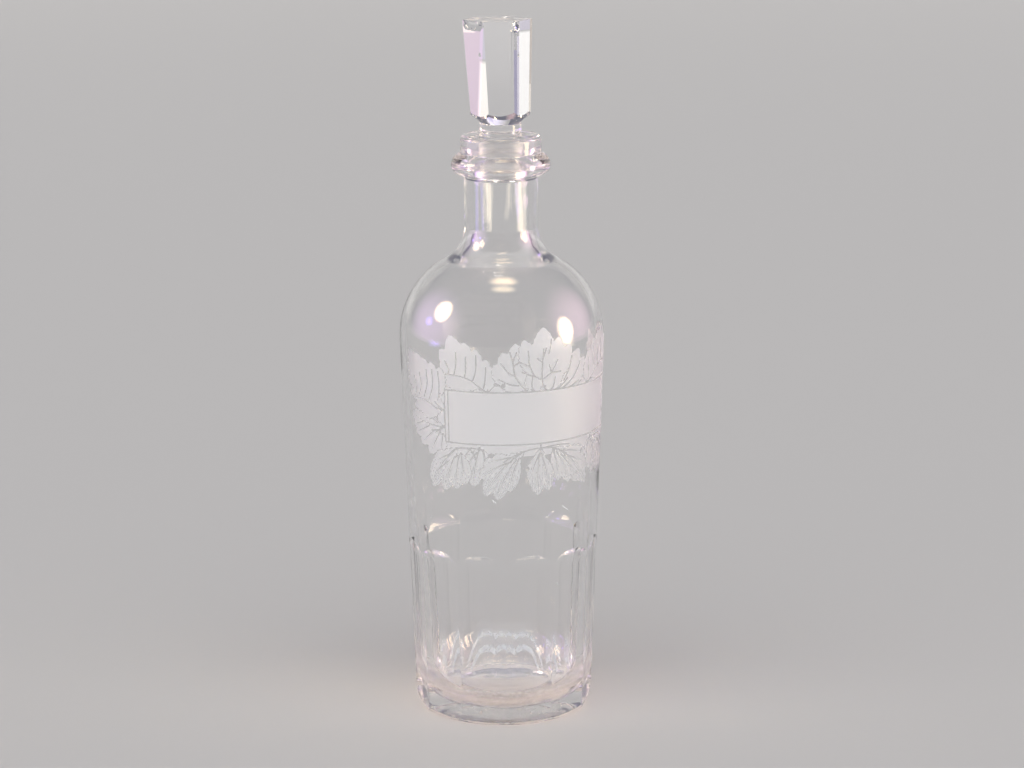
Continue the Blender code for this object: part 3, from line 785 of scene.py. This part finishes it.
def make_stopper():
    """A turned blank whose head is then cut to six flats that open out towards the top."""
    slope = math.tan(math.radians(HEAD_UNDERSIDE_DEG))
    head_foot = LIP_TOP + HEAD_RISE
    shift = HEAD_HEIGHT * math.tan(math.radians(HEAD_LEAN_DEG))
    blank = HEAD_TOP_ACROSS_CORNERS / 2 + shift + BLANK_ALLOWANCE
    ledge_radius = COLLAR_RADIUS - COLLAR_LEDGE
    collar_top = head_foot - (HEAD_FOOT_ACROSS_CORNERS / 2 - ledge_radius) * slope
    plug_top = LIP_TOP - MOUTH_EDGE
    plug_foot = LIP_TOP - PLUG_LENGTH
    outline = [
        (0, HEAD_TOP),
        (blank, HEAD_TOP),
        (blank, collar_top + (blank - ledge_radius) * slope),
        (ledge_radius, collar_top),
    ] + arc((COLLAR_RADIUS - COLLAR_EDGE, collar_top - COLLAR_EDGE), COLLAR_EDGE, math.pi / 2, 0) + [
        (COLLAR_RADIUS, plug_top + PLUG_EDGE),
        (plug_radius_at(MOUTH_EDGE), plug_top),
        (plug_radius_at(PLUG_LENGTH - PLUG_EDGE), plug_foot + PLUG_EDGE),
        (plug_radius_at(PLUG_LENGTH) - PLUG_EDGE, plug_foot),
        (0, plug_foot),
    ]
    stopper = turned("stopper_glass", outline, STOPPER_STEPS)

    deselect()
    corner_foot = HEAD_FOOT_ACROSS_CORNERS / 2
    corner_top = HEAD_TOP_ACROSS_CORNERS / 2
    spread = (corner_top - corner_foot) / HEAD_HEIGHT
    above = GUIDE_CLEARANCE
    below = HEAD_TOP - plug_foot + GUIDE_CLEARANCE
    bpy.ops.mesh.primitive_cone_add(vertices=HEAD_FACETS, radius1=corner_top - spread * below,
                                    radius2=corner_top + spread * above, depth=below + above,
                                    location=(0, 0, HEAD_TOP + (above - below) / 2))
    guide = bpy.context.object
    guide.name = "facet_guide"
    bpy.ops.object.transform_apply(location=True, rotation=True, scale=True)
    pivot = Matrix.Translation((0, 0, head_foot))
    lean = Matrix.Rotation(-math.radians(HEAD_LEAN_DEG), 4, "Y")
    turn = Matrix.Rotation(math.radians(HEAD_TURN_DEG) + math.pi / HEAD_FACETS, 4, "Z")
    guide.data.transform(pivot @ lean @ turn @ pivot.inverted())
    combine(stopper, guide, "INTERSECT")
    chip_away(stopper)
    x, y, z = vertex_places(stopper).T
    set_attribute(stopper, "ground", z < plug_top + PLUG_EDGE / 2)
    smooth(stopper, STOPPER_SHARP_DEG)
    stopper.data.materials.append(cut_glass())
    return stopper


def linear(code):
    """An sRGB hex colour as the linear colour that a node takes."""
    parts = [int(code[index:index + 2], 16) / 255 for index in (1, 3, 5)]
    return [part / 12.92 if part <= 0.04045 else ((part + 0.055) / 1.055) ** 2.4 for part in parts] + [1]


def add_node(owner, kind, inputs=None, **settings):
    """Add a node, its kind without "ShaderNode". An input is a value, or a node or an output, which is linked to it."""
    made = owner.node_tree.nodes.new("ShaderNode" + kind)
    for name, value in settings.items():
        setattr(made, name, value)
    for name, value in (inputs or {}).items():
        if isinstance(value, bpy.types.Node):
            value = value.outputs[0]
        if isinstance(value, bpy.types.NodeSocket):
            owner.node_tree.links.new(value, made.inputs[name])
        else:
            made.inputs[name].default_value = value
    return made


def new_material(name):
    material = bpy.data.materials.new(name)
    material.use_nodes = True
    return material, material.node_tree.nodes["Principled BSDF"]


def let_lamps_through(material, shader):
    """Glass lets a lamp's light on to what lies behind it, a little weaker at each face."""
    path = add_node(material, "LightPath").outputs["Is Shadow Ray"]
    clear = add_node(material, "BsdfTransparent", {"Color": linear("#F4F4F6")})
    mix = add_node(material, "MixShader", {0: path, 1: shader, 2: clear})
    tree = material.node_tree
    tree.links.new(mix.outputs[0], tree.nodes["Material Output"].inputs["Surface"])


def etched_share(material, place):
    """Where the wheel has matted the glass, 0 to 1: hatched and gritty, and thinner towards the lowest leaves."""
    etching = add_node(material, "Attribute", attribute_name="etching").outputs["Fac"]
    share = add_node(material, "MapRange", {"Value": etching, "From Min": ETCH_EDGE_OUT, "From Max": ETCH_EDGE_IN})
    hatching = add_node(material, "Attribute", attribute_name="hatching").outputs["Fac"]
    hatched = add_node(material, "Math", {0: hatching, 1: ETCH_HATCHING, 2: ETCH_TONE}, operation="MULTIPLY_ADD")
    grit = add_node(material, "TexNoise", {"Vector": place, "Scale": 1 / GRIT_SIZE, "Detail": 3})
    tone = add_node(material, "Math", {0: grit, 1: ETCH_GRIT, 2: hatched}, operation="MULTIPLY_ADD")
    up = add_node(material, "SeparateXYZ", {0: place}).outputs["Z"]
    depth = add_node(material, "MapRange", {
        "Value": up, "From Min": WREATH_LOW * MM, "From Max": BANNER_LOW * MM,
        "To Min": LOWEST_LEAVES_SHARE, "To Max": 1})
    for factor in (tone, depth):
        share = add_node(material, "Math", {0: share, 1: factor}, operation="MULTIPLY")
    return share


def film_share(material, place):
    """The film that dried drink leaves on the inner floor: tide marks at the back, and a mottled middle."""
    parts = add_node(material, "SeparateXYZ", {0: place})
    aside = add_node(material, "Math", {0: parts.outputs["X"]}, operation="ABSOLUTE")
    reach = add_node(material, "Math", {0: aside, 1: ARCH_REACH}, operation="DIVIDE")
    arches = add_node(material, "ValToRGB", {"Fac": reach})
    behind = add_node(material, "MapRange", {"Value": parts.outputs["Y"], "From Min": 0, "From Max": ARCH_BACK})
    arched = add_node(material, "Math", {0: arches, 1: behind}, operation="MULTIPLY")
    wander = add_node(material, "TexNoise", {"Vector": place, "Scale": 1 / WANDER_SIZE, "Detail": 2})
    level = -WANDER_DEPTH / 2 / FILM_TOP
    for source, rise in ((wander, WANDER_DEPTH), (parts.outputs["Z"], 1), (arched, ARCH_SAG)):
        level = add_node(material, "Math", {0: source, 1: rise / FILM_TOP, 2: level}, operation="MULTIPLY_ADD")
    tide_marks = add_node(material, "ValToRGB", {"Fac": level})
    for ramp, stops in ((arches, ARCHES), (tide_marks, TIDE_MARKS)):
        elements = ramp.color_ramp.elements
        while len(elements) < len(stops):
            elements.new(0.5)
        for element, (position, grey) in zip(elements, stops):
            element.position = position
            element.color = (grey, grey, grey, 1)
    rear = add_node(material, "MapRange", {
        "Value": parts.outputs["Y"], "From Min": -FILM_REACH, "From Max": FILM_REACH,
        "To Min": FILM_IN_FRONT, "To Max": 1})
    specks = add_node(material, "TexNoise", {"Vector": place, "Scale": 1 / SPECK_SIZE, "Detail": 6})
    mottle = add_node(material, "MapRange", {
        "Value": specks, "From Min": SPECK_LOW, "From Max": SPECK_HIGH, "To Min": SPECK_THINNEST, "To Max": 1})
    share = add_node(material, "Attribute", attribute_name="inner_floor").outputs["Fac"]
    for factor in (tide_marks, rear, mottle):
        share = add_node(material, "Math", {0: share, 1: factor}, operation="MULTIPLY")
    return share


def scratched_share(material, place):
    """Short scratches and nicks that handling has left on the outside."""
    total = 0
    for turn, height, length, slant in SCRATCHES:
        turn, slant = math.radians(turn), math.radians(slant)
        radius = float(outside_radius_at(height * MM)) - (FLUTE_DEPTH / 2 if height * MM < FLUTE_HEIGHT else 0)
        middle = Vector((radius * math.sin(turn), -radius * math.cos(turn), height * MM))
        run = Vector((math.cos(slant) * math.cos(turn), math.cos(slant) * math.sin(turn), math.sin(slant)))
        start = middle - run * length * MM / 2
        away = add_node(material, "VectorMath", {0: place, 1: start}, operation="SUBTRACT")
        share = add_node(material, "VectorMath", {0: away, 1: run / (length * MM)},
                         operation="DOT_PRODUCT").outputs["Value"]
        clamped = add_node(material, "Clamp", {0: share})
        along = add_node(material, "VectorMath", {0: run * length * MM, "Scale": clamped}, operation="SCALE")
        aside = add_node(material, "VectorMath", {0: away, 1: along}, operation="DISTANCE")
        line = add_node(material, "MapRange", {
            "Value": aside.outputs["Value"], "From Min": SCRATCH_WIDTH, "From Max": 0})
        total = add_node(material, "Math", {0: total, 1: line}, operation="ADD")
    return total


def blown_glass():
    """Soda-lime glass, blown and fire-polished: clear, with the bright mirroring of a skin that no tool has touched.

    It is matt and milky only where it was etched, ground or scratched, and where drink has dried on it.
    Where the film lies it is tinted a cool white, a painted colour that cancels the pink light of the softboxes on it.
    """
    material, shader = new_material("blown_soda_lime_glass")
    shader.inputs["IOR"].default_value = GLASS_IOR
    place = add_node(material, "TexCoord").outputs["Object"]
    etched = etched_share(material, place)
    film = film_share(material, place)
    scratched = scratched_share(material, place)
    ground = add_node(material, "Attribute", attribute_name="ground").outputs["Fac"]
    matt = 0
    for share, roughness in ((etched, ETCHED_ROUGHNESS), (film, FILM_ROUGHNESS), (ground, GROUND_ROUGHNESS),
                             (scratched, SCRATCH_ROUGHNESS)):
        matt = add_node(material, "Math", {0: share, 1: roughness, 2: matt}, operation="MULTIPLY_ADD")
    clear = 1
    for share, milk in ((etched, ETCHED_MILK), (film, FILM_MILK), (scratched, SCRATCH_MILK)):
        clear = add_node(material, "Math", {0: share, 1: -milk, 2: clear}, operation="MULTIPLY_ADD")
    # Painted colour against the lamps: the film's cool tint cancels the pink light that the softboxes throw on it, and
    # is not the film's own colour
    pink_cancelling_tint = add_node(material, "MixRGB", {"Fac": film, "Color1": linear("#FEFEFE"), "Color2": linear("#DDF2FC")})
    for name, source in (("Base Color", pink_cancelling_tint), ("Roughness", matt), ("Transmission Weight", clear)):
        material.node_tree.links.new(source.outputs[0], shader.inputs[name])
    let_lamps_through(material, shader)
    return material


def cut_glass():
    """Soda-lime glass, its flats cut and polished, which gives sharp edges and even, mirror-bright panels.

    Its plug is ground with grit into the seat, which leaves it a soft grey.
    """
    material, shader = new_material("cut_soda_lime_glass")
    shader.inputs["Base Color"].default_value = linear("#FEFEFF")
    shader.inputs["IOR"].default_value = GLASS_IOR
    shader.inputs["Transmission Weight"].default_value = 1
    ground = add_node(material, "Attribute", attribute_name="ground").outputs["Fac"]
    matt = add_node(material, "Math", {0: ground, 1: GROUND_ROUGHNESS}, operation="MULTIPLY")
    material.node_tree.links.new(matt.outputs[0], shader.inputs["Roughness"])
    let_lamps_through(material, shader)
    return material


def backdrop_paper():
    """Seamless background paper, uncoated: an even light warm grey without gloss."""
    material, shader = new_material("seamless_background_paper")
    shader.inputs["Base Color"].default_value = linear("#BFBDBA")
    shader.inputs["Roughness"].default_value = 0.9
    shader.inputs["Specular IOR Level"].default_value = 0.2
    return material


# The paper sweep, in metres
SWEEP_HALF = 5
SWEEP_HEIGHT = 3
SWEEP_BEND = 1.2
SWEEP_SEGMENTS = 24


def make_floor():
    """One sheet of paper: level under the bottle and far round it, and rolled up behind."""
    deselect()
    bpy.ops.mesh.primitive_plane_add(size=2 * SWEEP_HALF, location=(0, 0, 0))
    floor = bpy.context.object
    floor.name = "paper_sweep"
    clear_picks("EDGE")
    for edge in floor.data.edges:
        edge.select = min(floor.data.vertices[index].co.y for index in edge.vertices) > 0
    bpy.ops.object.mode_set(mode="EDIT")
    bpy.ops.mesh.extrude_region_move(TRANSFORM_OT_translate={"value": (0, 0, SWEEP_HEIGHT)})
    bpy.ops.object.mode_set(mode="OBJECT")
    bevel = floor.modifiers.new("sweep", "BEVEL")
    bevel.width = SWEEP_BEND
    bevel.segments = SWEEP_SEGMENTS
    bpy.ops.object.modifier_apply(modifier="sweep")
    smooth(floor, SWEEP_SHARP_DEG)
    floor.data.materials.append(backdrop_paper())


# The photograph's camera: place in metres, tilt in degrees, lens and sensor in millimetres
CAMERA_DISTANCE = 1.142
CAMERA_HEIGHT = 0.407
CAMERA_SIDE = 0.0043
CAMERA_PITCH_DEG = 13
CAMERA_ROLL_DEG = 0.31
CAMERA_LENS = 94.92
CAMERA_SENSOR = 36


def make_camera():
    data = bpy.data.cameras.new("camera")
    data.lens = CAMERA_LENS
    data.sensor_width = CAMERA_SENSOR
    camera = bpy.data.objects.new("camera", data)
    camera.location = (CAMERA_SIDE, -CAMERA_DISTANCE, CAMERA_HEIGHT)
    tilt = Matrix.Rotation(math.radians(90 - CAMERA_PITCH_DEG), 4, "X")
    roll = Matrix.Rotation(-math.radians(CAMERA_ROLL_DEG), 4, "Z")
    camera.rotation_euler = (tilt @ roll).to_euler()
    bpy.context.scene.collection.objects.link(camera)
    bpy.context.scene.camera = camera


def place_light(data, name, spot, facing):
    light = bpy.data.objects.new(name, data)
    light.location = spot
    light.rotation_euler = facing.to_track_quat("Z", "Y").to_euler()
    bpy.context.scene.collection.objects.link(light)
    return light


def direction(azimuth, elevation):
    """Unit vector from the bottle towards a light, its azimuth from the front with + to the right."""
    turn, rise = math.radians(azimuth), math.radians(elevation)
    return Vector((math.sin(turn) * math.cos(rise), -math.cos(turn) * math.cos(rise), math.sin(rise)))


def softbox(name, spot, facing, width, height, brightness, colour, softness, outline="ELLIPSE"):
    """Lamp that the glass mirrors, fading at its edge; brightness 1 is white paper in full light."""
    data = bpy.data.lights.new(name, "AREA")
    data.shape = outline
    data.size = width
    data.size_y = height
    area = width * height * (math.pi / 4 if outline == "ELLIPSE" else 1)
    data.energy = brightness * math.pi * area
    data.color = linear(colour)[:3]
    data.use_nodes = True
    across = add_node(data, "NewGeometry").outputs["Parametric"]
    centred = add_node(data, "VectorMath", {0: across, 1: (2, 2, 0), 2: (-1, -1, 0)}, operation="MULTIPLY_ADD")
    if outline == "ELLIPSE":
        out = add_node(data, "VectorMath", {0: centred}, operation="LENGTH").outputs["Value"]
    else:
        sides = add_node(data, "VectorMath", {0: centred}, operation="ABSOLUTE")
        parts = add_node(data, "SeparateXYZ", {0: sides})
        out = add_node(data, "Math", {0: parts.outputs["X"], 1: parts.outputs["Y"]}, operation="MAXIMUM")
    fade = add_node(data, "MapRange", {"Value": out, "From Min": 1, "From Max": 1 - softness},
                    interpolation_type="SMOOTHSTEP")
    data.node_tree.links.new(fade.outputs[0], data.node_tree.nodes["Emission"].inputs["Strength"])
    light = place_light(data, name, spot, facing)
    light.visible_diffuse = False
    light.visible_camera = False


def lamp(name, azimuth, elevation, distance, width, height, brightness, colour, softness):
    """Oval lamp that faces the middle of the bottle."""
    toward = direction(azimuth, elevation)
    softbox(name, AIM + toward * distance, toward, width, height, brightness, colour, softness)


def strip(name, azimuth, distance, width, low, high, brightness, colour, softness):
    """Upright panel that faces the bottle's axis."""
    toward = direction(azimuth, 0)
    spot = toward * distance + Vector((0, 0, (low + high) / 2))
    softbox(name, spot, toward, width, high - low, brightness, colour, softness, "RECTANGLE")


# The glass mirrors these lights, and each streak on it is one of them. Metres and degrees.
AIM = Vector((0, 0, 0.16))
LAMP_WHITE = "#FFE6BE"
STRIP_WHITE = "#FFEFD2"
# Name, azimuth, elevation, distance, width, height, brightness, colour, softness
LAMPS = [
    ("left_lamp", -81, 29, 1, 0.44, 0.46, 13, LAMP_WHITE, 0.35),
    ("right_lamp", 78, 9, 1, 0.4, 0.54, 13, LAMP_WHITE, 0.35),
    ("violet_spot", -94, 13.6, 1, 0.2, 0.2, 8, "#9A80FF", 0.8),
    ("left_softbox", -88, 14, 1.6, 3, 2.6, 2.5, "#E6C0F0", 0.9),
    ("right_softbox", 92, 14, 1.6, 2.8, 2.6, 2.5, "#F4C8DC", 0.9),
]
# Name, place, width, depth, brightness
OVERHEAD_LAMPS = [
    ("top_lamp_near", (0.03, -0.229, 1.16), 0.5, 0.26, 6),
    ("top_lamp_far", (0.03, -0.005, 1.16), 0.5, 0.32, 8),
]
OVERHEAD_SOFTNESS = 0.7
# Name, azimuth, distance, width, lower and upper edge, brightness, colour, softness
STRIPS = [
    ("right_strip", 70, 0.85, 0.6, 0.02, 0.15, 6, STRIP_WHITE, 0.5),
    ("left_strip_outer", -80, 0.85, 0.3, 0.03, 0.14, 4.5, "#A98FFF", 0.9),
    ("left_strip_inner", -37, 0.85, 0.3, 0.03, 0.14, 4, STRIP_WHITE, 0.5),
    ("stopper_right_facet", -137, 1, 0.3, 0.11, 0.243, 0.6, "#FFFDF8", 0.04),
    ("stopper_right_top", -137, 1, 0.3, 0.242, 0.31, 0.2, "#B9A2E8", 0.04),
    ("stopper_left_facet", 143.4, 1, 0.06, 0.15, 0.31, 0.22, "#E884D8", 0.04),
    ("stopper_left_line", 140, 1, 0.066, 0.15, 0.256, 0.54, "#FFF6E8", 0.08),
    ("stopper_chip_gleam", 142.6, 1, 0.02, 0.2765, 0.283, 0.45, "#FFF0D0", 0.3),
    ("stopper_left_top", 140, 1, 0.066, 0.256, 0.31, 0.16, "#A08CE0", 0.04),
    ("stopper_band_high", -104.4, 1, 0.14, 0.6, 0.8, 0.36, "#CFC6E6", 0.1),
    ("stopper_band_low", 135.8, 1, 0.06, 0.5, 0.7, 0.36, "#CFC6E6", 0.1),
    ("stopper_edge", -104.6, 1, 0.06, 0.16, 0.3, 0.5, STRIP_WHITE, 0.1),
]
# The same as for LAMPS
STOPPER_LAMPS = [
    ("stopper_underside", -40, 64, 1.2, 1.2, 0.8, 0.4, "#F2C4BE", 0.8),
    ("stopper_underside_rear", 168, 32.5, 1.4, 0.7, 0.14, 0.7, "#E6DCFF", 0.5),
    ("stopper_collar_gleam", 158, 55, 1.4, 0.9, 0.55, 9, "#FFF8EE", 0.5),
]
# The lights that only the bottle mirrors, and those that only the stopper does
BOTTLE_LIGHTS = ("left_softbox", "right_softbox", "top_lamp_far")
STOPPER_LIGHTS = "stopper_"

# Fills light the paper and the matt glass, and aren't mirrored: name and azimuth
FILLS = [("fill_left", -42), ("fill_right", 38)]
FILL_ELEVATION_DEG = 42
FILL_HEIGHT = 2
FILL_STRENGTH = 1.75
FILL_SPREAD_DEG = 60


def make_lights():
    for row in LAMPS:
        lamp(*row)
    overhead = Vector((0, 0, 1))
    for name, spot, width, depth, brightness in OVERHEAD_LAMPS:
        softbox(name, Vector(spot), overhead, width, depth, brightness, LAMP_WHITE, OVERHEAD_SOFTNESS)
    for row in STRIPS:
        strip(*row)
    for row in STOPPER_LAMPS:
        lamp(*row)
    for name, azimuth in FILLS:
        fill = bpy.data.lights.new(name, "SUN")
        fill.energy = FILL_STRENGTH
        fill.angle = math.radians(FILL_SPREAD_DEG)
        light = place_light(fill, name, Vector((0, 0, FILL_HEIGHT)), direction(azimuth, FILL_ELEVATION_DEG))
        light.visible_glossy = False
        light.visible_transmission = False
    world = bpy.data.worlds.new("studio")
    world.use_nodes = True
    background = world.node_tree.nodes["Background"]
    background.inputs["Color"].default_value = linear("#70707C")
    background.inputs["Strength"].default_value = 1
    bpy.context.scene.world = world


def aim_lights(bottle, stopper):
    """The stopper's own panels stay out of the bottle, and the wide softboxes out of the stopper."""
    for name, piece, starts in (("bottle_light", bottle, BOTTLE_LIGHTS), ("stopper_light", stopper, STOPPER_LIGHTS)):
        lit = bpy.data.collections.new(name)
        lit.objects.link(piece)
        for light in bpy.context.scene.objects:
            if light.type == "LIGHT" and light.name.startswith(starts):
                light.light_linking.receiver_collection = lit


def main():
    scene = bpy.context.scene
    scene.view_settings.view_transform = "Standard"
    scene.cycles.max_bounces = GLASS_BOUNCES
    scene.cycles.glossy_bounces = GLASS_BOUNCES
    scene.cycles.transmission_bounces = GLASS_BOUNCES
    make_camera()
    make_lights()
    make_floor()
    bottle = make_bottle()
    stopper = make_stopper()
    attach(bottle, "bottle")
    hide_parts("bottle")
    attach(stopper, "stopper")
    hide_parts("stopper")
    aim_lights(bottle, stopper)


main()
